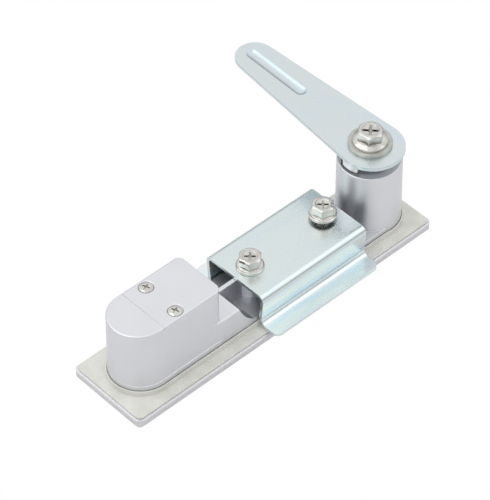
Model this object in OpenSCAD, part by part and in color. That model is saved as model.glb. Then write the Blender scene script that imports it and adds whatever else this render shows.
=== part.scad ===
// Push-button lock with a lift-and-turn handle for the sheet-metal door of an electrical cabinet.
// Origin: centre of the door cut-out, on the outer face of the door, where the gasket seats.
// +Z points into the cabinet, +X runs along the face plate towards the spindle, and +Y is the way
// the cam lever points when the door is locked. The handle and the button are on the -Z side.

/* [Face plate] */
// Length of the face plate
plate_len = 148; // [144:1:160]
// Width of the face plate
plate_wid = 36.7; // [35:0.1:44]
// Thickness of the face plate
plate_thk = 3.3; // [2.6:0.1:4]
// Corner radius of the face plate, seen from behind
plate_corner_r = 3.2; // [1.5:0.1:4]
// Bevel round both edges of the face plate
plate_bevel = 0.6; // [0.2:0.1:0.9]

/* [Gasket] */
// Thickness of the gasket
gasket_thk = 0.85; // [0.5:0.05:1.5]
// Rim of the face plate left bare outside the gasket
gasket_inset = 0.9; // [0.8:0.1:2]
// Gap between the gasket and the spigot that it surrounds
gasket_gap = 0.15; // [0.1:0.05:0.3]
// Thickness of the lip that stands up from the gasket round the spigot
gasket_lip_w = 0.6; // [0.4:0.05:0.7]
// Height of the lip behind the outer face of the door
gasket_lip_h = 2.4; // [1:0.1:2.5]

/* [Spigot] */
// Radius of the round-ended spigot that fills the door cut-out
spigot_r = 12.35; // [12.2:0.05:12.5]
// Height of the spigot behind the outer face of the door
spigot_h = 4.4; // [3:0.1:5]
// Distance from the end of the face plate to the centre of the button tower
tower_margin = 17; // [16.5:0.1:20]
// Distance from the other end of the face plate to the spindle axis
boss_margin = 16.5; // [15:0.1:19]

/* [Button tower] */
// Radius of the round end of the tower where it leaves the spigot
tower_r_base = 12.1; // [11.9:0.05:12.2]
// Radius of the round end of the tower at its top
tower_r_top = 11.6; // [11.4:0.05:11.9]
// Height of the tower behind the door
tower_h = 29.8; // [28:0.1:34]
// Straight length of the tower, from the button axis to its end face
tower_len = 29.6; // [27:0.1:31]
// Rounding of the tower's top edge
tower_fillet = 0.7; // [0.4:0.1:1]
// Rounding of the two upright corners of the tower
tower_corner_r = 3; // [1.5:0.1:3]

/* [Shelf and rib] */
// Height of the shelf behind the door
shelf_h = 14.2; // [13:0.1:14.8]
// Length of the shelf past the end face of the tower
shelf_reach = 7.5; // [6:0.1:8.5]
// Length over which the shelf widens out of the tower's sides, before its end face
shelf_lead = 6; // [3:0.1:8]
// Length of the hollow ramp that falls from the shelf to the spigot
ramp_len = 7; // [5:0.1:8]
// Radius of the hollow ramp
ramp_r = 18; // [12:1:30]
// Thickness of the rib that stands along the middle of the spigot
rib_thk = 1.6; // [1.2:0.1:2.5]

/* [Rear cover] */
// Thickness of the rear cover
cover_thk = 1.5; // [1.4:0.1:2]
// Distance from the button axis to the straight edge of the cover
cover_start = 2.2; // [2:0.1:4]
// Thickness of the cover's turned-down lip
cover_lip_thk = 1.6; // [1.2:0.1:2]
// Depth of the lip below the top of the tower
cover_lip_drop = 4.2; // [3:0.1:6]
// Gap between the cover's edges and the tower
cover_gap = 0.1; // [0.05:0.05:0.2]
// Distance from the button axis to the cover screws
cover_screw_x = 10.6; // [9:0.1:13]
// Distance from the middle to each cover screw
cover_screw_y = 7.8; // [7.5:0.1:8.2]
// Radius of the countersunk head of a cover screw
cover_screw_head_r = 3.1; // [2.8:0.1:3.2]
// Radius of a cover screw's shank
cover_screw_r = 1.5; // [1.25:0.05:1.6]
// Length of a cover screw
cover_screw_len = 8; // [6:1:12]

/* [Clamp bracket] */
// Length of the bracket
bracket_len = 52.4; // [50:0.1:55]
// Height of the bracket's top face behind the door
bracket_h = 15.8; // [15.4:0.1:17]
// Thickness of the bracket's sheet
bracket_thk = 1.5; // [1.2:0.1:1.6]
// Half of the bracket's outer width at its shoulder
bracket_half_w = 15.3; // [15.1:0.1:16.2]
// Distance from the middle to the outer edge of each foot
bracket_foot_y = 22.7; // [21.9:0.1:26]
// Outer radius of the two upper bends
bracket_bend_r = 2.9; // [2.2:0.1:3.5]
// Inner radius of the two lower bends
bracket_foot_bend_r = 2.2; // [1.7:0.1:2.8]
// Lean of the two walls towards the middle, in degrees
bracket_lean = 5; // [0:1:6]
// Gap between the feet and the gasket
bracket_gap = 0.35; // [0.3:0.05:0.8]
// Rounding of the outer corners of the feet
bracket_corner_r = 3; // [1:0.5:4]
// Distance between the two bracket screws
screw_pitch = 36.8; // [34:0.1:38]
// Distance from the spindle axis back to the middle of the bracket
bracket_to_boss = 42.35; // [42:0.05:43]

/* [Bracket screws] */
// Radius of a bracket screw's shank
m5_r = 2.5; // [2:0.5:2.5]
// Radius of a bracket screw's flange
m5_flange_r = 5.35; // [5:0.05:6]
// Width across the flats of a bracket screw
m5_flats = 8; // [7:0.5:8.5]
// Height of a bracket screw's head
m5_head_h = 5.6; // [4.5:0.1:6]
// Length of a bracket screw under its head
m5_len = 12; // [10:1:14]
// Height that the screw near the spindle still stands above the bracket
m5_loose = 1.6; // [0:0.1:2]
// Radius of the two posts that take the screws
post_r = 4.7; // [4:0.1:5]

/* [Spindle boss] */
// Radius of the boss at its foot
boss_r_base = 12.6; // [12.5:0.05:12.8]
// Radius of the boss at its top
boss_r_top = 12.4; // [11.9:0.05:12.45]
// Height of the boss behind the door
boss_h = 31.2; // [29:0.1:36]
// Rounding of the boss's top edge
boss_fillet = 0.6; // [0.3:0.1:1]
// Radius of the spindle
spindle_r = 6; // [5.8:0.1:6.5]
// Running clearance round the spindle
spindle_fit = 0.05; // [0.02:0.01:0.1]
// Height of the spindle's shoulder above the boss
shoulder_rise = 1.5; // [1:0.05:2]
// Width of the square on the spindle
square_w = 8; // [7:0.1:8.2]
// Radius of the spindle's head in the face plate
head_r = 10; // [9:0.1:10.5]
// Thickness of the spindle's head
head_thk = 2; // [1.5:0.1:2]
// Thickness of the thrust washer behind the head
thrust_thk = 0.5; // [0.3:0.1:0.5]
// Thickness of the seal ring's section
seal_d = 1.5; // [1.2:0.1:1.8]

/* [Travel stop] */
// Radius of the limit plate's round body
limit_r = 8.8; // [8.4:0.1:8.9]
// Radius of the limit plate's two lobes
limit_lobe_r = 11.8; // [11.4:0.1:12]
// Thickness of the limit plate
limit_thk = 2.6; // [1.5:0.1:3]
// Angle of the stop pin round the boss
stop_angle = 158; // [150:1:165]
// Distance of the stop pin from the spindle axis
stop_pin_at = 10.4; // [10.3:0.1:10.6]
// Radius of the stop pin
stop_pin_r = 1; // [0.8:0.05:1.1]
// Angle between the stop pin and the lobe that rests against it
stop_slack = 0.6; // [0.3:0.1:2]
// Angle that each lobe spans
lobe_span = 38; // [25:1:42]
// Turn of the spindle between its two stops
turn_range = 90; // [80:5:95]
// Thickness of the spacer between the limit plate and the lever
spacer_thk = 0.85; // [0.5:0.05:1.5]
// Radius of the spacer
spacer_r = 7.4; // [7:0.1:8]

/* [Cam lever] */
// Thickness of the lever
lever_thk = 1.8; // [1.5:0.1:3]
// Radius of the lever's hub end
lever_hub_r = 12.5; // [11.5:0.1:13.5]
// Distance that the centre of the hub end lies behind the spindle axis
lever_hub_back = 1; // [0:0.1:2]
// Radius of the lever's free end
lever_tip_r = 7.8; // [7:0.1:10]
// Distance from the spindle axis to the centre of the free end
lever_reach = 64.7; // [50:0.1:80]
// Lean of the lever away from square to the face plate, in degrees
lever_skew = 1.8; // [0:0.1:3]
// Width of the stiffening groove pressed into the lever
bead_w = 5.2; // [4:0.1:7]
// Depth of the stiffening groove, which stands out as a bead on the side towards the door
bead_rise = 0.8; // [0.4:0.1:1.2]
// Distance from the spindle axis to the near end of the groove
bead_from = 36; // [25:0.5:42]
// Distance from the spindle axis to the far end of the groove
bead_to = 69; // [46:0.5:70]

/* [Lever screw] */
// Radius of the washer on the lever
washer_r = 8.35; // [7.5:0.05:9]
// Thickness of the washer on the lever
washer_thk = 1.5; // [1:0.1:2]
// Radius of the lever screw's shank
m6_r = 3; // [2.5:0.5:3]
// Radius of the lever screw's flange
m6_flange_r = 6.75; // [6:0.05:7.5]
// Width across the flats of the lever screw
m6_flats = 10; // [9:0.5:10]
// Height of the lever screw's head
m6_head_h = 5.6; // [4.5:0.1:6.5]
// Length of the lever screw under its head
m6_len = 16; // [12:1:20]

/* [Handle] */
// Half of the handle's width
handle_half_w = 10.5; // [9.5:0.1:10.8]
// Thickness of the handle
handle_thk = 8.6; // [8.4:0.1:9.5]
// Gap between the face plate and the handle
handle_gap = 0.4; // [0.3:0.05:0.8]
// Gap between the tip of the handle and the button block
tip_gap = 0.6; // [0.4:0.1:1]
// Rounding of the handle's outer edges
handle_round = 1.8; // [0.8:0.1:2.5]
// Thickness of the handle's walls round the pockets in its back
handle_wall = 2; // [1.5:0.1:3]
// Number of pockets in the handle's back
handle_pockets = 5; // [3:1:6]
// Solid length at the handle's tip, round the groove for the latch
handle_tip = 8; // [6:0.5:12]
// Radius of the handle's hinge pin
hinge_pin_r = 2; // [1.5:0.1:2.2]
// Running clearance round the hinge pin
hinge_fit = 0.05; // [0.02:0.01:0.1]
// Width of the spindle's tongue between the handle's cheeks
tongue_w = 8; // [6:0.1:9]
// Side clearance of the tongue between the cheeks
tongue_gap = 0.15; // [0.1:0.05:0.3]
// Width of the leaf spring that lifts the handle
leaf_w = 6; // [4:0.1:6.5]
// Thickness of the leaf spring
leaf_thk = 0.4; // [0.3:0.05:0.6]
// Length of the leaf spring
leaf_len = 15; // [10:0.5:20]

/* [Button block] */
// Radius of the block's round end in front of the face plate
block_r = 11; // [10.5:0.1:11.4]
// Distance from the button axis to the block's end beside the handle
block_reach = 14.9; // [14.6:0.1:17]
// Radius of the push button
button_r = 7.5; // [7:0.1:7.6]
// Running clearance round the button
button_fit = 0.05; // [0.02:0.01:0.1]
// Distance that the button sits below the face of its block
button_recess = 0.4; // [0.2:0.1:1]
// Travel of the button
button_travel = 2.6; // [1.8:0.1:2.8]
// Height of the button's inner end behind the door
button_top = 19; // [18.8:0.1:20]
// Radius of the key plug
plug_r = 5; // [4.5:0.1:5.4]
// Height of the key plug's inner end behind the door
plug_top = 5.2; // [4:0.1:5.2]
// Width of the keyway
keyway_w = 1.3; // [1:0.1:2]
// Length of the keyway across the plug
keyway_len = 7; // [5:0.1:8]
// Depth of the keyway
keyway_depth = 12; // [8:1:16]

/* [Latch plate] */
// Thickness of the latch plate
latch_thk = 3; // [2:0.1:3.2]
// Width of the latch plate's arm
latch_arm_w = 2.4; // [2:0.1:2.6]
// Clearance round the latch plate in its slot
latch_gap = 0.15; // [0.1:0.05:0.3]
// Length of the nose that reaches into the handle's groove
nose_bite = 1.4; // [1:0.1:1.6]
// Height of the nose
nose_h = 2.2; // [1.6:0.1:2.6]
// Depth of the nose below the face plate's front
nose_depth = 4; // [3.4:0.1:4.6]
// Wall of the button block in front of the latch plate's arm
arm_cover = 0.6; // [0.5:0.1:1]
// Radius of the cross pin in the button
link_pin_r = 1.25; // [1:0.05:1.3]
// Distance of the cross pin from the button axis
link_pin_at = 5.9; // [5.4:0.1:6]
// Height of the cross pin behind the door
link_pin_h = 13; // [12.8:0.1:13.4]
// Wall of the latch plate round its slot
latch_wall = 1.1; // [0.9:0.05:1.2]
// Half width of the pocket behind the rear cover
pocket_half_w = 5; // [4.8:0.1:5.4]

/* [Button spring] */
// Wire thickness of the button spring
spring_wire = 0.9; // [0.6:0.1:1]
// Mean radius of the button spring
spring_r = 4.2; // [3:0.1:5]
// Turns of the button spring
spring_turns = 4; // [3:0.5:5]

/* [Hidden] */
$fn = 72;

// Overlap of a cutter past the face that it cuts
past = 1;
// Clearance round a screw that is threaded into a casting
thread_fit = 0.02;
// Clearance hole round a screw, added to its radius
hole_fit = 0.25;
// Clearance of a square hole round the spindle's square
square_fit = 0.05;

z_back = -gasket_thk;
z_front = z_back - plate_thk;
tower_x = -plate_len / 2 + tower_margin;
boss_x = plate_len / 2 - boss_margin;
tower_end = tower_x + tower_len;
shelf_from = tower_end - shelf_lead;
shelf_to = tower_end + shelf_reach;
bracket_x = boss_x - bracket_to_boss;
post_x = [bracket_x - screw_pitch / 2, bracket_x + screw_pitch / 2];
post_h = bracket_h - bracket_thk;
rib_h = min(shelf_h, post_h - 0.1);
spigot_ledge = max(0, spigot_r - tower_r_base);

shoulder_z = boss_h + shoulder_rise;
spacer_z = shoulder_z + limit_thk;
lever_z = spacer_z + spacer_thk;
washer_z = lever_z + lever_thk;
m6_z = washer_z + washer_thk;

handle_back = z_front - handle_gap;
hinge_z = handle_back - handle_thk / 2;
handle_front = handle_back - handle_thk;
block_end = tower_x + block_reach;
handle_r = boss_x - block_end - tip_gap;
web_r = handle_thk / 2 + 2.2;
tongue_half = handle_thk / 2 - 0.3;

cover_x = tower_x + cover_start;
cover_z = tower_h - cover_thk;
head_z = z_front + 0.1;
thrust_z = head_z + head_thk;
seat_z = thrust_z + thrust_thk;
button_face = handle_front + button_recess;

arm_to = block_end - arm_cover;
arm_from = arm_to - latch_arm_w;
nose_to = boss_x - handle_r + nose_bite;
nose_top = z_front - nose_depth;
link_x = tower_x + link_pin_at;
link_slot_r = link_pin_r + 0.1;
latch_head_from = link_x - link_slot_r - latch_wall;
latch_head_low = link_pin_h - link_slot_r - latch_wall;
latch_head_high = link_pin_h + button_travel + link_slot_r + latch_wall;
pocket_from = cover_x + 0.8;
pocket_to = tower_end - 3.2;
pocket_low = latch_head_low - 1.2;
clip_thk = 0.8;
neck_r = plug_r - 2;
neck_h = 2 * clip_thk + 0.2;
clip_gap = 0.1;
seal_z = z_back + 6;
leaf_top = handle_back - 0.5;
leaf_fall = 1;
leaf_root = 1;
m5_turn = [12, 20];
m6_turn = 8;
bead_flank = 1.2;
gasket_corner_r = 2.4;
lobe_corner_r = 0.9;

// Points along an arc, from angle a0 to angle a1
function arc(cx, cy, r, a0, a1, n = 8) =
    [for (i = [0:n]) let (a = a0 + (a1 - a0) * i / n) [cx + r * cos(a), cy + r * sin(a)]];

// Flat outline of a rectangle with round corners, centred
module round_rect(l, w, r) {
    square([l - 2 * r, w], center = true);
    square([l, w - 2 * r], center = true);
    for (x = [-1, 1], y = [-1, 1]) translate([x * (l / 2 - r), y * (w / 2 - r)]) circle(r);
}

// Half outline of a boss that narrows from r0 to r1 over its height and is rounded at the top
module half_section(r0, r1, z0, z1, f) {
    polygon(concat([[0, z0], [r0, z0]], arc(r1 - f, z1 - f, f, 0, 90), [[0, z1]]));
}

// The same outline on both sides of the middle
module whole_section(r0, r1, z0, z1, f) {
    polygon(concat([[-r0, z0], [r0, z0]], arc(r1 - f, z1 - f, f, 0, 90), arc(f - r1, z1 - f, f, 90, 180)));
}

// Bar with that section: round at x0 and cut square at x1
module round_end_bar(x0, x1, r0, r1, z0, z1, f) {
    translate([x0, 0, 0]) rotate_extrude() half_section(r0, r1, z0, z1, f);
    translate([x0, 0, 0]) rotate([90, 0, 90]) linear_extrude(x1 - x0) whole_section(r0, r1, z0, z1, f);
}

// Rectangle in the X-Y plane drawn from its low and high corner values and extruded
module block(x0, x1, half_y, z0, z1) {
    translate([x0, -half_y, z0]) cube([x1 - x0, 2 * half_y, z1 - z0]);
}

// Cross recess with four short arms, cut into the top of a screw head at height z
module cross_recess(span, w, depth, z) {
    for (a = [0, 90]) rotate([0, 0, a])
        translate([-span / 2, -w / 2, z - depth]) cube([span, w, depth + past]);
    translate([0, 0, z - 1.6 * depth]) cylinder(h = 1.6 * depth + past, r = 0.36 * span, $fn = 24);
}

// Hexagon-head screw with a flange and a dished, crossed top; it stands on z = 0
module flange_screw(r, len, flange_r, flats, head_h) {
    flange_h = 0.25 * head_h;
    cone_h = 0.1 * head_h;
    hex_r = flats / 2 / cos(30);
    bevel = 0.5;
    dish = 0.35;
    difference() {
        union() {
            translate([0, 0, -len]) cylinder(h = len + flange_h / 2, r = r);
            cylinder(h = flange_h - cone_h, r = flange_r);
            translate([0, 0, flange_h - cone_h]) cylinder(h = cone_h, r1 = flange_r, r2 = hex_r + 0.2);
            intersection() {
                cylinder(h = head_h, r = hex_r, $fn = 6);
                union() {
                    cylinder(h = head_h - bevel, r = hex_r + bevel);
                    translate([0, 0, head_h - bevel]) cylinder(h = bevel, r1 = hex_r, r2 = flats / 2 - dish);
                }
            }
        }
        translate([0, 0, head_h - dish]) cylinder(h = dish, r1 = 0.36 * flats, r2 = 0.42 * flats);
        translate([0, 0, head_h]) cylinder(h = past, r = 0.42 * flats);
        cross_recess(0.5 * flats, 0.12 * flats, 0.12 * flats, head_h - dish);
    }
}

module face_plate_solid() {
    mid_z = (z_back + z_front) / 2;
    half_t = plate_thk / 2;
    intersection() {
        translate([0, 0, z_front]) linear_extrude(plate_thk) round_rect(plate_len, plate_wid, plate_corner_r);
        translate([-plate_len / 2 - past, 0, mid_z]) rotate([90, 0, 90])
            linear_extrude(plate_len + 2 * past) bevelled(plate_wid / 2, half_t, plate_bevel);
        translate([0, plate_wid / 2 + past, mid_z]) rotate([90, 0, 0])
            linear_extrude(plate_wid + 2 * past) bevelled(plate_len / 2, half_t, plate_bevel);
    }
}

// Rectangle with its four corners cut off at 45 degrees
module bevelled(half_x, half_y, b) {
    polygon([[half_x - b, -half_y], [half_x, b - half_y], [half_x, half_y - b], [half_x - b, half_y],
             [b - half_x, half_y], [-half_x, half_y - b], [-half_x, b - half_y], [b - half_x, -half_y]]);
}

// Outer form of the tower, with the rear cover in place
module tower_form() {
    intersection() {
        round_end_bar(tower_x, tower_end, tower_r_base, tower_r_top, z_back, tower_h, tower_fillet);
        translate([0, 0, z_back]) linear_extrude(tower_h - z_back) {
            translate([tower_x - spigot_r, -spigot_r])
                square([tower_len + spigot_r - tower_corner_r, 2 * spigot_r]);
            half = tower_r_top - tower_corner_r;
            translate([tower_end - 2 * tower_corner_r, -half]) square([2 * tower_corner_r, 2 * half]);
            for (y = [-half, half]) translate([tower_end - tower_corner_r, y]) circle(tower_corner_r);
        }
    }
}

// Space that the rear cover takes out of the tower: its flat and its turned-down lip, less a gap
module cover_space(gap = 0) {
    block(cover_x + gap, tower_end + past, spigot_r + past, cover_z, tower_h + past);
    block(tower_end - cover_lip_thk + gap, tower_end + past, spigot_r + past,
        tower_h - cover_lip_drop + gap, tower_h + past);
}

// Shelf past the tower's end: it grows out of the tower's sides and falls to the spigot in a hollow ramp
module shelf() {
    rise = shelf_h - spigot_h;
    chord = sqrt(ramp_len * ramp_len + rise * rise);
    reach = sqrt(ramp_r * ramp_r - chord * chord / 4);
    cx = shelf_to + ramp_len / 2 + reach * rise / chord;
    cz = (shelf_h + spigot_h) / 2 + reach * ramp_len / chord;
    a0 = atan2(shelf_h - cz, shelf_to - cx) + 360;
    a1 = atan2(spigot_h - cz, shelf_to + ramp_len - cx) + 360;
    edge = 0.5;
    mid_z = (shelf_h + z_back) / 2;
    root = tower_r_base + (tower_r_top - tower_r_base) * (shelf_h - z_back) / (tower_h - z_back) - 0.05;
    intersection() {
        translate([0, spigot_r, 0]) rotate([90, 0, 0]) linear_extrude(2 * spigot_r)
            polygon(concat([[shelf_from, z_back], [shelf_from, shelf_h]],
                arc(cx, cz, ramp_r, a0, a1), [[shelf_to + ramp_len, z_back]]));
        translate([shelf_from, 0, mid_z]) rotate([90, 0, 90]) linear_extrude(shelf_to + ramp_len - shelf_from)
            bevelled(spigot_r, (shelf_h - z_back) / 2, edge);
        translate([0, 0, z_back]) linear_extrude(shelf_h - z_back)
            polygon([[shelf_from, -root], [tower_end, -spigot_r], [shelf_to + ramp_len, -spigot_r],
                     [shelf_to + ramp_len, spigot_r], [tower_end, spigot_r], [shelf_from, root]]);
    }
}

module rib_and_posts() {
    block(shelf_to - past, post_x[1], rib_thk / 2, z_back, rib_h);
    for (x = post_x) translate([x, 0, z_back]) cylinder(h = post_h - z_back, r = post_r);
}

module spindle_boss() {
    translate([boss_x, 0, 0]) rotate_extrude() half_section(boss_r_base, boss_r_top, z_back, boss_h, boss_fillet);
}

// Raised block round the button, in front of the face plate, hollowed to the swing of the handle
module button_block() {
    difference() {
        mirror([0, 0, 1])
            round_end_bar(tower_x, block_end + past, block_r, block_r, -z_back, -handle_front, handle_round);
        translate([boss_x, 0, handle_front - past])
            cylinder(h = z_front - handle_front + past, r = handle_r + tip_gap, $fn = 180);
    }
}

module button_bores() {
    translate([tower_x, 0, handle_front - past])
        cylinder(h = cover_z - handle_front + past, r = button_r + button_fit);
    block(pocket_from, pocket_to, pocket_half_w, pocket_low, cover_z + past);
}

// Slot for the latch plate's arm, from the pocket down through the face plate, and for its nose
module latch_slot() {
    half = latch_thk / 2 + latch_gap;
    low = nose_top - nose_h - latch_gap;
    block(arm_from - button_travel - latch_gap, arm_to + latch_gap, half, low, pocket_low + past);
    block(arm_from, block_end + past, half, low, nose_top + latch_gap);
}

module base_casting() {
    color("silver") difference() {
        union() {
            face_plate_solid();
            translate([0, 0, z_back]) linear_extrude(spigot_h - z_back) spigot_outline(spigot_r);
            difference() {
                tower_form();
                cover_space();
            }
            shelf();
            rib_and_posts();
            spindle_boss();
            button_block();
        }
        button_bores();
        latch_slot();
        translate([boss_x, 0, z_front - past]) cylinder(h = boss_h - z_front + 2 * past, r = spindle_r + spindle_fit);
        translate([boss_x, 0, z_front - past]) cylinder(h = seat_z - z_front + past, r = head_r + 0.3);
        for (x = post_x) translate([x, 0, post_h - m5_len]) cylinder(h = m5_len + past, r = m5_r + thread_fit);
        for (y = [-cover_screw_y, cover_screw_y])
            translate([tower_x + cover_screw_x, y, cover_z - cover_screw_len])
                cylinder(h = cover_screw_len + past, r = cover_screw_r + thread_fit);
        rotate_about_boss(stop_angle) translate([stop_pin_at, 0, boss_h - 4])
            cylinder(h = 4 + past, r = stop_pin_r + thread_fit);
    }
}

// Round-ended outline of the spigot, grown or shrunk to radius r: its ledge beside the tower runs out
// round the tower's end
module spigot_outline(r) {
    translate([tower_x + spigot_ledge, -r]) square([boss_x - tower_x - spigot_ledge, 2 * r]);
    for (x = [tower_x + spigot_ledge, boss_x]) translate([x, 0]) circle(r);
}

// Outline of the spigot and the boss together, grown by a gap
module body_outline(gap) {
    spigot_outline(spigot_r + gap);
    translate([boss_x, 0]) circle(boss_r_base + gap);
}

module rotate_about_boss(a) {
    translate([boss_x, 0, 0]) rotate([0, 0, a]) children();
}

module door_gasket() {
    color("lightgray") difference() {
        union() {
            translate([0, 0, z_back]) linear_extrude(gasket_thk)
                round_rect(plate_len - 2 * gasket_inset, plate_wid - 2 * gasket_inset, gasket_corner_r);
            translate([0, 0, z_back]) linear_extrude(gasket_lip_h - z_back)
                body_outline(gasket_gap + gasket_lip_w);
        }
        translate([0, 0, z_back - past]) linear_extrude(gasket_lip_h - z_back + 2 * past)
            body_outline(gasket_gap);
    }
}

module rear_cover() {
    color("gainsboro") difference() {
        intersection() {
            tower_form();
            cover_space(cover_gap);
        }
        for (y = [-cover_screw_y, cover_screw_y]) translate([tower_x + cover_screw_x, y, 0]) {
            cylinder(h = tower_h + past, r = cover_screw_r + 0.1);
            translate([0, 0, cover_z]) cylinder(h = cover_thk, r1 = cover_screw_r + 0.1, r2 = cover_screw_head_r);
        }
    }
}

module cover_screws() {
    color("lightslategray") for (y = [-cover_screw_y, cover_screw_y])
        translate([tower_x + cover_screw_x, y, tower_h]) difference() {
            union() {
                translate([0, 0, -cover_screw_len]) cylinder(h = cover_screw_len - 0.5, r = cover_screw_r);
                translate([0, 0, -cover_thk + 0.05])
                    cylinder(h = cover_thk - 0.1, r1 = cover_screw_r, r2 = cover_screw_head_r - 0.1);
            }
            cross_recess(0.9 * cover_screw_head_r, 0.22 * cover_screw_head_r, 0.5, -0.05);
        }
}

// Section of the bracket on one side: sheet bent down at the shoulder and out into a foot
function bracket_side(inner) =
    let (t = inner ? bracket_thk : 0,
         cy = bracket_half_w - bracket_bend_r,
         cz = bracket_h - bracket_bend_r,
         wall = (cz - (bracket_bend_r + bracket_foot_bend_r) * sin(bracket_lean)
             - bracket_foot_bend_r - bracket_thk - bracket_gap) / cos(bracket_lean),
         ty = cy + (bracket_bend_r + bracket_foot_bend_r) * cos(bracket_lean) - wall * sin(bracket_lean),
         tz = bracket_gap + bracket_thk + bracket_foot_bend_r)
    concat(arc(cy, cz, bracket_bend_r - t, 90, -bracket_lean, 10),
           arc(ty, tz, bracket_foot_bend_r + t, 180 - bracket_lean, 270, 10),
           [[bracket_foot_y, tz - bracket_foot_bend_r - t]]);

module clamp_bracket() {
    outer = bracket_side(false);
    inner = bracket_side(true);
    n = len(outer) - 1;
    half = concat(outer, [for (i = [n:-1:0]) inner[i]]);
    color("lightsteelblue") difference() {
        intersection() {
            translate([bracket_x - bracket_len / 2, 0, 0]) rotate([90, 0, 90]) linear_extrude(bracket_len)
                polygon(concat([for (p = outer) p], [for (i = [n:-1:0]) inner[i]],
                    [for (p = inner) [-p[0], p[1]]], [for (i = [n:-1:0]) [-outer[i][0], outer[i][1]]]));
            translate([bracket_x, 0, 0]) linear_extrude(bracket_h + past)
                round_rect(bracket_len, 2 * bracket_foot_y, bracket_corner_r);
        }
        for (x = post_x) translate([x, 0, 0]) cylinder(h = bracket_h + past, r = m5_r + hole_fit);
    }
}

module bracket_screws() {
    color("tan") {
        translate([post_x[0], 0, bracket_h]) rotate([0, 0, m5_turn[0]])
            flange_screw(m5_r, m5_len, m5_flange_r, m5_flats, m5_head_h);
        translate([post_x[1], 0, bracket_h + m5_loose]) rotate([0, 0, m5_turn[1]])
            flange_screw(m5_r, m5_len, m5_flange_r, m5_flats, m5_head_h);
    }
}

module stop_pin() {
    color("dimgray") rotate_about_boss(stop_angle) translate([stop_pin_at, 0, boss_h - 3.8])
        cylinder(h = 3.8 + shoulder_rise + limit_thk - 0.2, r = stop_pin_r);
}

// Helix of round wire, one ring of points at a time, with its two ends closed
module button_spring() {
    sides = 8;
    steps = 20;
    low = button_top + spring_wire / 2;
    high = cover_z - spring_wire / 2;
    rings = floor(spring_turns * steps);
    pts = [for (i = [0:rings], j = [0:sides - 1])
        let (a = 360 * i / steps, b = 360 * j / sides, r = spring_r + spring_wire / 2 * cos(b))
        [r * cos(a), r * sin(a), low + (high - low) * i / rings + spring_wire / 2 * sin(b)]];
    skin = [for (i = [0:rings - 1], j = [0:sides - 1])
        let (k = (j + 1) % sides, a = i * sides)
        [a + j, a + j + sides, a + k + sides, a + k]];
    color("slategray") translate([tower_x, 0, 0])
        polyhedron(points = pts, faces = concat(skin, [[for (j = [0:sides - 1]) j]],
            [[for (j = [sides - 1:-1:0]) rings * sides + j]]), convexity = 6);
}

module spindle() {
    color("darkgray") difference() {
        union() {
            translate([boss_x, 0, head_z]) cylinder(h = head_thk, r = head_r);
            translate([boss_x, 0, head_z]) cylinder(h = shoulder_z - head_z, r = spindle_r);
            translate([boss_x - square_w / 2, -square_w / 2, head_z])
                cube([square_w, square_w, washer_z - 0.3 - head_z]);
            translate([boss_x, tongue_w / 2, hinge_z]) rotate([90, 0, 0]) cylinder(h = tongue_w, r = tongue_half);
            block(boss_x - tongue_half, boss_x + tongue_half, tongue_w / 2, hinge_z, head_z + past);
        }
        translate([boss_x, tongue_w, hinge_z]) rotate([90, 0, 0])
            cylinder(h = 2 * tongue_w, r = hinge_pin_r + 0.01);
        translate([boss_x, 0, m6_z - m6_len]) cylinder(h = m6_len + past, r = m6_r + thread_fit);
        translate([boss_x, 0, seal_z - seal_d / 2]) difference() {
            cylinder(h = seal_d, r = spindle_r + past);
            translate([0, 0, -past]) cylinder(h = seal_d + 2 * past, r = spindle_r + spindle_fit - seal_d);
        }
        block(boss_x - tongue_half - past, boss_x - tongue_half + leaf_root, leaf_w / 2 + thread_fit,
            leaf_top - leaf_thk, leaf_top);
    }
}

module thrust_washer() {
    color("ivory") translate([boss_x, 0, thrust_z]) linear_extrude(thrust_thk) difference() {
        circle(head_r - 0.2);
        circle(spindle_r + 0.15);
    }
}

module spindle_seal() {
    color("black") translate([boss_x, 0, seal_z]) rotate_extrude()
        translate([spindle_r + spindle_fit - seal_d / 2, 0]) circle(seal_d / 2 - 0.02, $fn = 24);
}

// Lobe of the limit plate between two angles, with its outer corners rounded
module limit_lobe(a, b) {
    reach = limit_lobe_r - lobe_corner_r;
    d = asin(lobe_corner_r / reach);
    step = (b - a - 2 * d) / 10;
    polygon(concat([[0, 0]],
        arc(reach * cos(a + d), reach * sin(a + d), lobe_corner_r, a - 90, a + d, 5),
        arc(0, 0, limit_lobe_r, a + d + step, b - d - step, 8),
        arc(reach * cos(b - d), reach * sin(b - d), lobe_corner_r, b - d, b + 90, 5)));
}

module limit_plate() {
    edge = asin(stop_pin_r / stop_pin_at) + stop_slack;
    lobe_a = stop_angle + edge;
    lobe_b = stop_angle - edge - turn_range - lobe_span;
    color("gray") translate([0, 0, shoulder_z]) rotate_about_boss(0) linear_extrude(limit_thk) difference() {
        union() {
            circle(limit_r);
            for (a = [lobe_a, lobe_b]) limit_lobe(a, a + lobe_span);
        }
        square(square_w + 2 * square_fit, center = true);
    }
}

module cam_spacer() {
    color("dimgray") translate([boss_x, 0, spacer_z]) linear_extrude(spacer_thk) difference() {
        circle(spacer_r);
        square(square_w + 2 * square_fit, center = true);
    }
}

// Outline of the lever: two round ends joined by their tangents
module lever_outline() {
    a = asin((lever_hub_r - lever_tip_r) / (lever_reach + lever_hub_back));
    translate([0, -lever_hub_back]) circle(lever_hub_r, $fn = 120);
    translate([0, lever_reach]) circle(lever_tip_r, $fn = 96);
    polygon([for (s = [-1, 1], e = s < 0 ? [0, 1] : [1, 0])
        let (r = e == 0 ? lever_hub_r : lever_tip_r, y = e == 0 ? -lever_hub_back : lever_reach)
        [s * r * cos(a), y + r * sin(a)]]);
}

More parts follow.
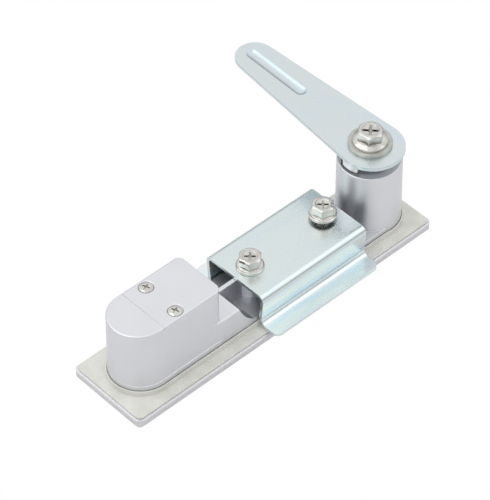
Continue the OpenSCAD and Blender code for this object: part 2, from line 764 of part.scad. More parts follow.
// Round-topped bead along the lever, as wide as w and standing h above z = 0
module bead(w, h) {
    r = (w * w / 4 + h * h) / (2 * h);
    intersection() {
        translate([0, 0, h - r]) union() {
            translate([0, bead_from + bead_w / 2, 0]) rotate([-90, 0, 0])
                cylinder(h = bead_to - bead_from - bead_w, r = r);
            for (y = [bead_from + bead_w / 2, bead_to - bead_w / 2]) translate([0, y, 0]) sphere(r);
        }
        translate([-w, 0, 0]) cube([2 * w, 2 * lever_reach, h + past]);
    }
}

module cam_lever() {
    color("lightsteelblue") translate([boss_x, 0, lever_z]) difference() {
        rotate([0, 0, -lever_skew]) difference() {
            union() {
                linear_extrude(lever_thk) lever_outline();
                mirror([0, 0, 1]) bead(bead_w + bead_flank, bead_rise);
            }
            translate([0, 0, lever_thk]) mirror([0, 0, 1]) translate([0, 0, -0.01]) bead(bead_w, bead_rise);
        }
        translate([-square_w / 2 - square_fit, -square_w / 2 - square_fit, -past])
            cube([square_w + 2 * square_fit, square_w + 2 * square_fit, lever_thk + 2 * past]);
    }
}

module cam_washer() {
    color("silver") translate([boss_x, 0, washer_z]) linear_extrude(washer_thk) difference() {
        circle(washer_r);
        circle(m6_r + hole_fit);
    }
}

module cam_screw() {
    color("tan") translate([boss_x, 0, m6_z]) rotate([0, 0, m6_turn])
        flange_screw(m6_r, m6_len, m6_flange_r, m6_flats, m6_head_h);
}

module hinge_pin() {
    half = handle_half_w - 0.6;
    color("dimgray") translate([boss_x, half, hinge_z]) rotate([90, 0, 0]) cylinder(h = 2 * half, r = hinge_pin_r);
}

module lift_spring() {
    x0 = boss_x - tongue_half + leaf_root;
    x1 = boss_x - tongue_half - leaf_len / 2;
    x2 = boss_x - tongue_half - leaf_len;
    color("slategray") translate([0, leaf_w / 2, 0]) rotate([90, 0, 0]) linear_extrude(leaf_w)
        polygon([[x0, leaf_top], [x1, leaf_top], [x2, leaf_top - leaf_fall],
                 [x2, leaf_top - leaf_fall - leaf_thk], [x1, leaf_top - leaf_thk], [x0, leaf_top - leaf_thk]]);
}

module handle() {
    leaf_floor = leaf_top - leaf_fall - leaf_thk - 0.15;
    groove_gap = 0.25;
    pockets_from = boss_x - handle_r + handle_tip;
    pockets_to = boss_x - tongue_half - leaf_len - 0.5 - handle_wall;
    pitch = (pockets_to - pockets_from + handle_wall) / handle_pockets;
    color("gainsboro") difference() {
        intersection() {
            translate([0, 0, handle_front]) linear_extrude(handle_thk) intersection() {
                translate([boss_x, 0]) circle(handle_r, $fn = 180);
                translate([boss_x - handle_r - past, -handle_half_w])
                    square([handle_r + past + handle_thk, 2 * handle_half_w]);
            }
            translate([0, handle_half_w, 0]) rotate([90, 0, 0]) linear_extrude(2 * handle_half_w) union() {
                translate([boss_x, hinge_z]) circle(handle_thk / 2);
                translate([boss_x - handle_r, handle_front]) square([handle_r, handle_thk]);
            }
            translate([boss_x - handle_r - past, 0, 0]) rotate([90, 0, 90]) linear_extrude(handle_r + handle_thk)
                mirror([0, 1])
                    whole_section(handle_half_w, handle_half_w, -handle_back, -handle_front, handle_round);
        }
        block(boss_x - web_r, boss_x + handle_thk, tongue_w / 2 + tongue_gap, handle_front - past, handle_back + past);
        translate([boss_x, handle_half_w + past, hinge_z]) rotate([90, 0, 0])
            cylinder(h = 2 * (handle_half_w + past), r = hinge_pin_r + hinge_fit);
        block(boss_x - tongue_half - leaf_len - 0.5, boss_x - web_r + past, leaf_w / 2 + 0.4,
            leaf_floor, handle_back + past);
        translate([boss_x, 0, nose_top - nose_h - groove_gap]) difference() {
            cylinder(h = nose_h + 2 * groove_gap, r = handle_r + past, $fn = 180);
            translate([0, 0, -past])
                cylinder(h = nose_h + 2 * (groove_gap + past), r = handle_r - nose_bite - groove_gap, $fn = 180);
        }
        for (i = [0:handle_pockets - 1])
            block(pockets_from + i * pitch, pockets_from + (i + 1) * pitch - handle_wall,
                handle_half_w - handle_wall, handle_front + 1.5 * handle_wall, handle_back + past);
    }
}

module push_button() {
    half = latch_thk / 2 + latch_gap;
    bevel = 0.5;
    room = 0.4;
    color("lightgray") translate([tower_x, 0, 0]) difference() {
        union() {
            translate([0, 0, button_face + bevel]) cylinder(h = button_top - button_face - bevel, r = button_r);
            translate([0, 0, button_face]) cylinder(h = bevel, r1 = button_r - bevel, r2 = button_r);
        }
        translate([0, 0, button_face - past]) cylinder(h = plug_top - button_face + past, r = plug_r + button_fit);
        translate([0, 0, plug_top - past]) cylinder(h = neck_h + past, r = plug_r + latch_gap);
        translate([latch_head_from - tower_x - button_travel - room, -half, latch_head_low - button_travel - room])
            cube([button_r + past, 2 * half, button_top]);
        translate([link_pin_at, button_r, link_pin_h]) rotate([90, 0, 0])
            cylinder(h = 2 * button_r, r = link_pin_r + 0.01);
    }
}

module link_pin() {
    half = sqrt(button_r * button_r - (link_pin_at + link_pin_r) * (link_pin_at + link_pin_r)) + 0.6;
    color("dimgray") translate([link_x, half, link_pin_h]) rotate([90, 0, 0]) cylinder(h = 2 * half, r = link_pin_r);
}

module key_plug() {
    color("goldenrod") translate([tower_x, 0, 0]) difference() {
        union() {
            translate([0, 0, button_face]) cylinder(h = plug_top - button_face, r = plug_r);
            translate([0, 0, plug_top - past]) cylinder(h = neck_h + past - clip_gap, r = neck_r);
        }
        translate([-keyway_len / 2, -keyway_w / 2, button_face - past])
            cube([keyway_len, keyway_w, keyway_depth + past]);
    }
}

module plug_clip() {
    mouth = 1.2 * neck_r;
    color("dimgray") translate([tower_x, 0, plug_top + clip_gap]) linear_extrude(clip_thk) difference() {
        circle(plug_r - 2 * clip_gap);
        circle(neck_r + thread_fit);
        translate([0, -mouth / 2]) square([plug_r, mouth]);
    }
}

module latch_plate() {
    low = nose_top - nose_h;
    color("darkgray") translate([0, latch_thk / 2, 0]) rotate([90, 0, 0]) linear_extrude(latch_thk) difference() {
        polygon([[arm_from, low], [arm_to, low], [nose_to - 0.5, low], [nose_to, low + 0.5],
                 [nose_to, nose_top], [arm_to, nose_top], [arm_to, latch_head_high],
                 [latch_head_from, latch_head_high], [latch_head_from, latch_head_low],
                 [arm_from, latch_head_low]]);
        for (t = [0, button_travel]) translate([link_x + t, link_pin_h + t]) circle(link_slot_r);
        translate([link_x, link_pin_h]) rotate(45)
            translate([0, -link_slot_r]) square([button_travel * sqrt(2), 2 * link_slot_r]);
    }
}

base_casting();
door_gasket();
rear_cover();
cover_screws();
clamp_bracket();
bracket_screws();
stop_pin();
button_spring();
spindle();
thrust_washer();
spindle_seal();
limit_plate();
cam_spacer();
cam_lever();
cam_washer();
cam_screw();
hinge_pin();
lift_spring();
handle();
push_button();
link_pin();
key_plug();
plug_clip();
latch_plate();
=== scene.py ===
"""Finishes for a push-button cabinet door lock: cast, plated and turned metal, fine trim and a plain studio.

The file is laid out as an add-on. Each operator finishes one group of like pieces or models one group of
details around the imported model, and main() calls them in order. Lengths are in metres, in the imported
model's frame.
"""
import math

import bpy
from mathutils import Matrix, Vector


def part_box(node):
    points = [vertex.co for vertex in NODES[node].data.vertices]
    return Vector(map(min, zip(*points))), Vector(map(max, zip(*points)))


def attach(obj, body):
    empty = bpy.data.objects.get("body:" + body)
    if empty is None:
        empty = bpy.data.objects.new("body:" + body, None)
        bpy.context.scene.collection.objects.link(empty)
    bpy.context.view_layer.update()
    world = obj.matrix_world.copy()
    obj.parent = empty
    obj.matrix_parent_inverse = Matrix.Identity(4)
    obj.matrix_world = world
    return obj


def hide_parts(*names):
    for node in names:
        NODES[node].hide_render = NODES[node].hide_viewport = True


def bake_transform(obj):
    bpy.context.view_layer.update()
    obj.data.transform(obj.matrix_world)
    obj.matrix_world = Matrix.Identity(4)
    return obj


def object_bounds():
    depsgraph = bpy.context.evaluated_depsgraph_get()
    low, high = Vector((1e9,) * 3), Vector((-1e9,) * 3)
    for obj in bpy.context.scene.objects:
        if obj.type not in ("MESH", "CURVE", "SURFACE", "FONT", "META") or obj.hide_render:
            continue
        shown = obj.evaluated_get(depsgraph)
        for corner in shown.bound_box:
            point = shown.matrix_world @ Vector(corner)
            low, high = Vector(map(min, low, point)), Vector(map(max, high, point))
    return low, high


bl_info = {
    "name": "Cabinet Lock Finishes",
    "version": (1, 0, 0),
    "blender": (4, 5, 0),
    "location": "3D View > Sidebar > Cabinet Lock",
    "description": "Plated, cast and turned finishes, fine trim and a studio for a push-button cabinet lock",
    "category": "Object",
}

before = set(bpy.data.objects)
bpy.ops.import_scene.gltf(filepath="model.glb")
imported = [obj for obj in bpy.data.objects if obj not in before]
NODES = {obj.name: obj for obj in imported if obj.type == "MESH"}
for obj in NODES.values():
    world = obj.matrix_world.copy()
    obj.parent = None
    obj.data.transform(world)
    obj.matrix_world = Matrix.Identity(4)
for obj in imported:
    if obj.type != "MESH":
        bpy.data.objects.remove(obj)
CAD_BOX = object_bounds()

MM = 0.001


def linear(code):
    """Linear colour with alpha from an sRGB hex value such as '#D4DDDC'."""
    parts = [int(code[i:i + 2], 16) / 255 for i in (1, 3, 5)]
    return [c / 12.92 if c <= 0.04045 else ((c + 0.055) / 1.055) ** 2.4 for c in parts] + [1.0]


def colour(name, description, code):
    """Colour property whose default is an sRGB hex value."""
    return bpy.props.FloatVectorProperty(name=name, description=description, subtype="COLOR", size=4,
                                         min=0.0, max=1.0, default=linear(code))


def length(name, description, millimetres):
    """Length property whose default is given in millimetres."""
    return bpy.props.FloatProperty(name=name, description=description, subtype="DISTANCE", unit="LENGTH",
                                   default=millimetres * MM, precision=5)


def share(name, description, value, top=1.0):
    """Plain number property from 0 to top."""
    return bpy.props.FloatProperty(name=name, description=description, min=0.0, max=top, default=value)


def angle(name, description, degrees):
    """Angle property whose default is given in degrees."""
    return bpy.props.FloatProperty(name=name, description=description, subtype="ANGLE", unit="ROTATION",
                                   default=math.radians(degrees))


class LockColours(bpy.types.PropertyGroup):
    """Colours of the lock's finishes."""
    casting: colour("Casting", "Satin chrome on the zinc die castings", "#E0E1E5")
    # Painted highlight along the castings' edges, which also stands for burnish; also the limit plate's own
    # colour
    casting_edge_sheen_and_limit_plate: colour("Casting edge", "Burnished edges of that plating, and the limit plate", "#F8F8FB")
    # Painted shade on what lies below the gasket's underside
    casting_rim_shade: colour("Casting rim", "Duller plating in front of the gasket's underside", "#D8D8DB")
    gasket: colour("Gasket", "Closed-cell foam", "#DFDFD9")
    gasket_pore: colour("Gasket pore", "Shade inside the pores of the foam", "#C2C2BB")
    zinc: colour("Zinc", "Clear-passivated zinc on the bracket", "#D9E2E2")
    zinc_lever: colour("Zinc, lever", "Clear-passivated zinc on the lever", "#D5DDDF")
    zinc_foot: colour("Zinc, feet", "Clear-passivated zinc on the bracket's feet", "#E6F0F1")
    # A bluer film with painted shade over the lever's groove
    zinc_groove_shade: colour("Zinc, groove", "Film over the drawn groove of the lever", "#C3D2DB")
    zinc_blue: colour("Zinc, blue", "Where the passivation film shows blue", "#CBDDE6")
    zinc_yellow: colour("Zinc, yellow", "Where the passivation film shows straw", "#E2E6DA")
    zinc_rose: colour("Zinc, rose", "Where the passivation film shows rose", "#E0DADD")
    nickel: colour("Nickel", "Bright nickel on the screws", "#DAD9D5")
    nickel_stain: colour("Nickel stain", "Warm haze over the nickel and the brass", "#8B8880")
    # Painted highlight along the edges of the nickel parts, which also stands for wear
    nickel_edge_sheen_and_wear: colour("Burnished", "Nickel where an edge is worn bright", "#F6F6F4")
    washer: colour("Washer", "Tumbled nickel on the plain washer", "#C9CAC4")
    turned: colour("Turned steel", "Zinc on the turned and punched steel parts", "#D6DADC")
    dark_steel: colour("Dark steel", "Black oxide on pins, spacer and clip", "#3C3F44")
    spring: colour("Spring steel", "Oiled spring wire and leaf", "#8A8D92")
    brass: colour("Brass", "Turned brass of the key plug", "#C9A95C")
    nylon: colour("Nylon", "Natural nylon of the thrust washer", "#E6E2D3")
    rubber: colour("Rubber", "Black nitrile of the seal ring", "#1B1C1E")
    backdrop: colour("Backdrop", "White that the camera sees behind the lock", "#FFFFFF")
    floor: colour("Floor", "Floor where it is lit", "#E6E6E6")


class LockStudio(bpy.types.PropertyGroup):
    """Camera and light."""
    azimuth: angle("Azimuth", "Camera direction round the part, from the front towards +X", -42.26)
    elevation: angle("Elevation", "Camera angle above the face plate's plane", 45.73)
    roll: angle("Roll", "Camera turn about its own axis", -0.70)
    distance: length("Distance", "From the camera to its aim", 1062.5)
    aim: bpy.props.FloatVectorProperty(name="Aim", description="Point at the middle of the picture",
                                       subtype="TRANSLATION", unit="LENGTH",
                                       default=(4.75 * MM, 11.44 * MM, 10.0 * MM))
    lens: bpy.props.FloatProperty(name="Lens", default=206.74, min=20.0,
                                  description="Focal length in millimetres on a 36 mm high sensor")
    floor_reach: length("Floor", "Half of the floor's width", 3000)
    sky: share("Sky", "Strength of the surroundings high up", 1.0, 4.0)
    horizon: share("Horizon", "Strength of the surroundings at the horizon", 0.15, 4.0)
    white_sky: share("White sky", "How far metal shows the white surroundings", 0.2)
    white_floor: share("White floor", "How far metal shows the white floor instead of the lit one", 0.2)
    clean_floor: share("Clean floor", "How far the camera sees the white floor instead of the lit one", 0.99)
    overhead: bpy.props.FloatProperty(name="Overhead light", default=12.0, min=0.0, unit="POWER",
                                      description="Power of the large soft light above")
    side: bpy.props.FloatProperty(name="Side light", default=3.0, min=0.0, unit="POWER",
                                  description="Power of the soft light from the right")


class LockTrim(bpy.types.PropertyGroup):
    """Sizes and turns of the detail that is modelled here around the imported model."""
    sheet_edge: length("Sheet edge", "Rounding of the deburred edges of pressed sheet", 0.2)
    foam_edge: length("Foam edge", "Rounding of the die-cut edges of the gasket", 0.22)
    washer_edge: length("Washer edge", "Rounding of the tumbled washer", 0.25)
    plate_edge: length("Limit plate edge", "Rounding of the punched limit plate", 0.3)
    head_height: length("Head height", "Height of the flanged screw heads", 5.6)
    head_edge: length("Head edge", "Rounding of the upright corners of the hexagons", 0.25)
    m5_flats: length("M5 flats", "Width across the flats of the bracket screws", 8.0)
    m6_flats: length("M6 flats", "Width across the flats of the lever screw", 9.0)
    m5_cross: length("M5 cross", "Width of the cross recess in the bracket screws", 4.3)
    m6_cross: length("M6 cross", "Width of the cross recess in the lever screw", 5.8)
    m3_cross: length("M3 cross", "Width of the cross recess in the cover screws", 3.1)
    m5_pitch: length("M5 pitch", "Thread pitch of the bracket screws", 0.8)
    m6_pitch: length("M6 pitch", "Thread pitch of the lever screw", 1.0)
    m3_pitch: length("M3 pitch", "Thread pitch of the cover screws", 0.5)
    m3_gap: length("M3 gap", "Gap round the head of each cover screw", 0.3)
    m3_sunk: length("M3 sunk", "How far the rim of a cover screw's head lies below the cover", 0.2)
    m5_turn: angle("M5 turn", "Turn of each bracket screw's head", 12.0)
    m6_turn: angle("M6 turn", "Turn of the lever screw's head", 8.0)
    m3_turn: angle("M3 turn", "Turn of the cross recess in the cover screws", 20.0535)


def trim():
    return bpy.context.scene.lock_trim


def colours():
    return bpy.context.scene.lock_colours


def studio():
    return bpy.context.scene.lock_studio


def add_node(tree, kind, links=None, values=None, **settings):
    """Adds one shader node with its settings and input values, and links other sockets into its inputs."""
    node = tree.nodes.new(kind)
    for key, value in settings.items():
        setattr(node, key, value)
    for key, value in (values or {}).items():
        node.inputs[key].default_value = value
    for key, socket in (links or {}).items():
        tree.links.new(socket, node.inputs[key])
    return node


def new_material(name):
    """Empty node material with an output, its principled shader and object coordinates."""
    material = bpy.data.materials.new(name)
    material.use_nodes = True
    tree = material.node_tree
    tree.nodes.clear()
    shader = add_node(tree, "ShaderNodeBsdfPrincipled")
    add_node(tree, "ShaderNodeOutputMaterial", {"Surface": shader.outputs["BSDF"]})
    place = add_node(tree, "ShaderNodeTexCoord").outputs["Object"]
    return material, tree, shader, place


# A mottled pattern runs from 0 to 1, and most of it lies between these two.
MOTTLE_LOW = 0.35
MOTTLE_HIGH = 0.65


def mottling(tree, place, size, detail=2.0, stretch=(1.0, 1.0, 1.0)):
    """Cloudy pattern whose features measure about size, in metres, and are stretched along each axis."""
    spread = add_node(tree, "ShaderNodeMapping", {"Vector": place},
                      {"Scale": [1 / (size * s) for s in stretch]})
    return add_node(tree, "ShaderNodeTexNoise", {"Vector": spread.outputs["Vector"]},
                    {"Scale": 1.0, "Detail": detail, "Roughness": 0.55}).outputs["Fac"]


def reach(low, high, start=MOTTLE_LOW, end=MOTTLE_HIGH):
    """Input values that turn start into low and end into high."""
    return {"From Min": start, "From Max": end, "To Min": low, "To Max": high}


def darkened(tint, part):
    """The colour at that part of its brightness."""
    return [v * part for v in tint[:3]] + [1.0]


def soft_edges(tree, radius):
    """Normal that rounds every sharp edge by radius, and a mask that is 1 along those edges."""
    # Cosine between that normal and the face's own, on an edge and away from it
    bent = 0.85
    flat = 0.995
    bevel = add_node(tree, "ShaderNodeBevel", values={"Radius": radius}, samples=6).outputs["Normal"]
    face = add_node(tree, "ShaderNodeNewGeometry").outputs["Normal"]
    dot = add_node(tree, "ShaderNodeVectorMath", {0: bevel, 1: face}, operation="DOT_PRODUCT")
    edge = add_node(tree, "ShaderNodeMapRange", {"Value": dot.outputs["Value"]}, reach(1.0, 0.0, bent, flat))
    return bevel, edge.outputs["Result"]


def satin_chrome_casting():
    """Zinc die casting, tumbled and plated in satin chrome: pale, evenly soft, with a faint orange peel.

    What lies in front of the gasket's underside is painted darker as shade: the face plate's rim and front,
    the button block, the handle and the front of the button. The edges get a painted highlight, which also
    stands for burnish. The grain is finer than a pixel of the main view.
    """
    edge_radius = 0.28 * MM
    cloud_size = 14 * MM
    cloud_share = 0.16
    cloud_shade = 0.86
    peel_size = 0.7 * MM
    peel_height = 0.2 * MM
    peel_strength = 0.05
    grain_size = 0.16 * MM
    smoothest = 0.42
    roughest = 0.54
    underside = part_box("door_gasket")[0][2]
    fade = 0.3 * MM
    material, tree, shader, place = new_material("satin_chrome_on_zinc_casting")
    c = colours()
    normal, edge = soft_edges(tree, edge_radius)
    cloud = add_node(tree, "ShaderNodeMapRange", {"Value": mottling(tree, place, cloud_size, detail=3.0)},
                     reach(0.0, cloud_share)).outputs["Result"]
    height = add_node(tree, "ShaderNodeSeparateXYZ", {"Vector": place}).outputs["Z"]
    # Mask of the painted shade: 1 below the gasket's underside
    painted_shade_below = add_node(tree, "ShaderNodeMapRange", {"Value": height},
                    reach(1.0, 0.0, underside - fade, underside)).outputs["Result"]
    peel = mottling(tree, place, peel_size)
    grain = mottling(tree, place, grain_size, detail=1.0)
    shaded = darkened(c.casting, cloud_shade)
    body = add_node(tree, "ShaderNodeMix", {"Factor": cloud}, {6: c.casting, 7: shaded},
                    data_type="RGBA").outputs[2]
    # Painted highlight along the edges, which also stands for burnish
    body = add_node(tree, "ShaderNodeMix", {"Factor": edge, 6: body}, {7: c.casting_edge_sheen_and_limit_plate},
                    data_type="RGBA").outputs[2]
    # Painted shade on everything below the gasket's underside
    body = add_node(tree, "ShaderNodeMix", {"Factor": painted_shade_below, 6: body}, {7: c.casting_rim_shade},
                    data_type="RGBA").outputs[2]
    satin = add_node(tree, "ShaderNodeMapRange", {"Value": grain},
                     reach(smoothest, roughest)).outputs["Result"]
    bump = add_node(tree, "ShaderNodeBump", {"Height": peel, "Normal": normal},
                    {"Strength": peel_strength, "Distance": peel_height}).outputs["Normal"]
    tree.links.new(body, shader.inputs["Base Color"])
    shader.inputs["Metallic"].default_value = 1.0
    tree.links.new(satin, shader.inputs["Roughness"])
    tree.links.new(bump, shader.inputs["Normal"])
    return material


def clear_zinc_on_steel(name, grain_along, low, high, stops):
    """Cold-rolled steel sheet with clear-passivated zinc: bright, with thin-film straw, rose and blue clouds.

    The film's colour follows how deep the sheet was drawn, and a stop can also carry painted shade, as in the
    lever's groove. It runs through stops between two heights, low and high, and the film's own clouds make it
    wander.
    """
    film_size = 12 * MM
    cloud_size = 7 * MM
    wander = 0.3
    blue_share = 0.45
    rose_share = 0.3
    roll_size = 0.22 * MM
    roll_height = 0.1 * MM
    roll_strength = 0.012
    roll_stretch = 8
    smoothest = 0.23
    roughest = 0.3
    material, tree, shader, place = new_material(name)
    c = colours()
    film = mottling(tree, place, film_size, stretch=grain_along)
    clouds = mottling(tree, place, cloud_size, stretch=grain_along)
    height = add_node(tree, "ShaderNodeSeparateXYZ", {"Vector": place}).outputs["Z"]
    level = add_node(tree, "ShaderNodeMapRange", {"Value": height},
                     reach(-wander / 2, 1 - wander / 2, low, high)).outputs["Result"]
    wavy = add_node(tree, "ShaderNodeMath", {0: film, 2: level}, {1: wander},
                    operation="MULTIPLY_ADD").outputs[0]
    ramp = add_node(tree, "ShaderNodeValToRGB", {"Fac": wavy})
    elements = ramp.color_ramp.elements
    for (position, tint), element in zip((stops[0], stops[-1]), elements):
        element.position = position
        element.color = tint
    for position, tint in stops[1:-1]:
        elements.new(position).color = tint
    blue = add_node(tree, "ShaderNodeMapRange", {"Value": clouds},
                    reach(0.0, blue_share, 0.5, 0.7)).outputs["Result"]
    rose = add_node(tree, "ShaderNodeMapRange", {"Value": film},
                    reach(0.0, rose_share, 0.56, 0.76)).outputs["Result"]
    body = add_node(tree, "ShaderNodeMix", {"Factor": blue, 6: ramp.outputs["Color"]}, {7: c.zinc_blue},
                    data_type="RGBA").outputs[2]
    body = add_node(tree, "ShaderNodeMix", {"Factor": rose, 6: body}, {7: c.zinc_rose},
                    data_type="RGBA").outputs[2]
    marks_along = [roll_stretch * s if s > 1 else s for s in grain_along]
    rolled = mottling(tree, place, roll_size, detail=1.0, stretch=marks_along)
    bright = add_node(tree, "ShaderNodeMapRange", {"Value": rolled},
                      reach(smoothest, roughest)).outputs["Result"]
    bump = add_node(tree, "ShaderNodeBump", {"Height": rolled},
                    {"Strength": roll_strength, "Distance": roll_height}).outputs["Normal"]
    tree.links.new(body, shader.inputs["Base Color"])
    shader.inputs["Metallic"].default_value = 1.0
    tree.links.new(bright, shader.inputs["Roughness"])
    tree.links.new(bump, shader.inputs["Normal"])
    return material


def plated_metal(name, base, stain, rough, grain, edge_sheen_and_wear=None):
    """Plated or turned metal with a slight haze and fine grain, and where a colour is given, a painted
    highlight along its edges that also stands for wear.

    The grain is finer than a pixel of the main view.
    """
    edge_radius = 0.12 * MM
    haze_size = 3.5 * MM
    haze_share = 0.35
    grain_height = 0.05 * MM
    grain_strength = 0.03
    smoothest = rough * 0.8
    roughest = rough * 1.25
    material, tree, shader, place = new_material(name)
    haze = add_node(tree, "ShaderNodeMapRange", {"Value": mottling(tree, place, haze_size, detail=3.0)},
                    reach(0.0, haze_share)).outputs["Result"]
    normal, edge = soft_edges(tree, edge_radius)
    body = add_node(tree, "ShaderNodeMix", {"Factor": haze}, {6: base, 7: stain},
                    data_type="RGBA").outputs[2]
    # Painted highlight along the edges, which also stands for wear
    body = add_node(tree, "ShaderNodeMix", {"Factor": edge, 6: body}, {7: edge_sheen_and_wear or base},
                    data_type="RGBA").outputs[2]
    fine = mottling(tree, place, grain)
    spread = add_node(tree, "ShaderNodeMapRange", {"Value": fine},
                      reach(smoothest, roughest)).outputs["Result"]
    bump = add_node(tree, "ShaderNodeBump", {"Height": fine, "Normal": normal},
                    {"Strength": grain_strength, "Distance": grain_height}).outputs["Normal"]
    tree.links.new(body, shader.inputs["Base Color"])
    shader.inputs["Metallic"].default_value = 1.0
    tree.links.new(spread, shader.inputs["Roughness"])
    tree.links.new(bump, shader.inputs["Normal"])
    return material


def closed_cell_foam():
    """Closed-cell EPDM foam sheet, die-cut: matt, with a fine pebbled skin."""
    pore_size = 0.45 * MM
    pore_shade = 0.5
    pore_height = 0.1 * MM
    pore_strength = 0.12
    cloud_size = 6 * MM
    cloud_share = 0.35
    matt = 0.72
    material, tree, shader, place = new_material("closed_cell_epdm_foam")
    c = colours()
    pores = add_node(tree, "ShaderNodeTexVoronoi", {"Vector": place},
                     {"Scale": 1 / pore_size}).outputs["Distance"]
    pitted = add_node(tree, "ShaderNodeMapRange", {"Value": pores},
                      reach(pore_shade, 0.0, 0.0, 0.5)).outputs["Result"]
    cloud = add_node(tree, "ShaderNodeMapRange", {"Value": mottling(tree, place, cloud_size, detail=3.0)},
                     reach(0.0, cloud_share)).outputs["Result"]
    body = add_node(tree, "ShaderNodeMix", {"Factor": pitted}, {6: c.gasket, 7: c.gasket_pore},
                    data_type="RGBA").outputs[2]
    body = add_node(tree, "ShaderNodeMix", {"Factor": cloud, 6: body}, {7: c.gasket_pore},
                    data_type="RGBA").outputs[2]
    bump = add_node(tree, "ShaderNodeBump", {"Height": pores},
                    {"Strength": pore_strength, "Distance": pore_height}).outputs["Normal"]
    tree.links.new(body, shader.inputs["Base Color"])
    shader.inputs["Roughness"].default_value = matt
    tree.links.new(bump, shader.inputs["Normal"])
    return material


def moulded_plastic(name, base, rough):
    """Moulded nylon or rubber, whose faint skin texture is finer than a pixel of the main view."""
    skin_size = 0.3 * MM
    skin_share = 0.6
    skin_shade = 0.9
    skin_height = 0.05 * MM
    skin_strength = 0.08
    material, tree, shader, place = new_material(name)
    skin = mottling(tree, place, skin_size)
    shade = add_node(tree, "ShaderNodeMapRange", {"Value": skin}, reach(0.0, skin_share)).outputs["Result"]
    shaded = darkened(base, skin_shade)
    body = add_node(tree, "ShaderNodeMix", {"Factor": shade}, {6: base, 7: shaded},
                    data_type="RGBA").outputs[2]
    bump = add_node(tree, "ShaderNodeBump", {"Height": skin},
                    {"Strength": skin_strength, "Distance": skin_height}).outputs["Normal"]
    tree.links.new(body, shader.inputs["Base Color"])
    shader.inputs["Roughness"].default_value = rough
    tree.links.new(bump, shader.inputs["Normal"])
    return material


def finish_piece(piece, material):
    """Gives every face of a piece the one material."""
    piece.data.materials.clear()
    piece.data.materials.append(material)


def only(piece):
    """Selects one piece alone and makes it active."""
    bpy.ops.object.select_all(action="DESELECT")
    piece.select_set(True)
    bpy.context.view_layer.objects.active = piece


def turned(name, centre, profile, steps=64):
    """Solid of revolution about an upright axis, drawn out of a disc through (radius, height) pairs."""
    bpy.ops.object.select_all(action="DESELECT")
    x, y, z = centre
    radius, height = profile[0]
    bpy.ops.mesh.primitive_circle_add(vertices=steps, radius=radius, fill_type="NGON",
                                      location=(x, y, z + height))
    piece = bpy.context.object
    piece.name = name
    bpy.ops.object.transform_apply(location=True, rotation=True, scale=True)
    bpy.ops.object.mode_set(mode="EDIT")
    bpy.ops.mesh.select_all(action="SELECT")
    for next_radius, next_height in profile[1:]:
        bpy.ops.mesh.extrude_region_move(TRANSFORM_OT_translate={"value": (0, 0, next_height - height)})
        k = next_radius / radius
        bpy.ops.transform.resize(value=(k, k, 1), center_override=(x, y, z + next_height))
        radius, height = next_radius, next_height
    bpy.ops.mesh.select_all(action="SELECT")
    bpy.ops.mesh.normals_make_consistent(inside=False)
    bpy.ops.object.mode_set(mode="OBJECT")
    return piece


def combine(piece, tool, how):
    """Applies one solid to another: DIFFERENCE, INTERSECT or UNION. The tool is used up."""
    only(piece)
    step = piece.modifiers.new("combine", "BOOLEAN")
    step.operation = how
    step.solver = "EXACT"
    step.object = tool
    bpy.ops.object.modifier_apply(modifier=step.name)
    bpy.data.objects.remove(tool)


def joined(pieces, name):
    """One object from several."""
    only(pieces[0])
    for piece in pieces[1:]:
        piece.select_set(True)
    bpy.ops.object.join()
    bpy.context.object.name = name
    return bpy.context.object


def hexagon(centre, flats, low, high, turn, edge):
    """Upright hexagonal bar whose six upright edges are rounded."""
    bpy.ops.object.select_all(action="DESELECT")
    x, y, z = centre
    bpy.ops.mesh.primitive_cylinder_add(vertices=6, radius=flats / math.sqrt(3), depth=high - low,
                                        location=(x, y, z + (low + high) / 2), rotation=(0, 0, turn))
    bar = bpy.context.object
    bpy.ops.object.transform_apply(location=True, rotation=True, scale=True)
    bpy.ops.object.mode_set(mode="EDIT")
    bpy.ops.mesh.select_mode(type="EDGE")
    bpy.ops.mesh.select_all(action="DESELECT")
    bpy.ops.object.mode_set(mode="OBJECT")
    for e in bar.data.edges:
        a, b = (bar.data.vertices[i].co for i in e.vertices)
        e.select = abs(a.z - b.z) > edge
    bpy.ops.object.mode_set(mode="EDIT")
    bpy.ops.mesh.bevel(offset=edge, segments=3, affect="EDGES")
    bpy.ops.object.mode_set(mode="OBJECT")
    return bar


def cross_wing(centre, span, width, depth, turn):
    """One of the two wings of a cross recess. Its top lies at centre, and its sides draw in below."""
    bpy.ops.object.select_all(action="DESELECT")
    x, y, z = centre
    bpy.ops.mesh.primitive_cube_add(size=1.0, location=(x, y, z), rotation=(0, 0, turn))
    wing = bpy.context.object
    taper = 0.45
    half_way = (1 + taper) / 2
    # The face whose normal points down by more than this is the wing's foot
    downward = -0.9
    wing.scale = (span / half_way, width / half_way, 2 * depth)
    bpy.ops.object.transform_apply(location=True, rotation=True, scale=True)
    bpy.ops.object.mode_set(mode="EDIT")
    bpy.ops.mesh.select_mode(type="FACE")
    bpy.ops.mesh.select_all(action="DESELECT")
    bpy.ops.object.mode_set(mode="OBJECT")
    for face in wing.data.polygons:
        face.select = face.normal.z < downward
    bpy.ops.object.mode_set(mode="EDIT")
    bpy.ops.transform.resize(value=(taper, taper, 1), center_override=(x, y, z - depth))
    bpy.ops.object.mode_set(mode="OBJECT")
    return wing


def cut_cross(piece, centre, span, turn):
    """Cuts a cross recess as wide as span into a screw head, with its top at centre."""
    wing_width = 0.2 * span
    wing_depth = 0.4 * span
    for quarter in (0.0, math.pi / 2):
        combine(piece, cross_wing(centre, span, wing_width, wing_depth, turn + quarter), "DIFFERENCE")
    pit = turned("pit", centre, [(0.05 * span, -0.55 * span), (0.16 * span, -0.36 * span),
                                 (0.21 * span, 0.1 * span)], steps=24)
    combine(piece, pit, "DIFFERENCE")


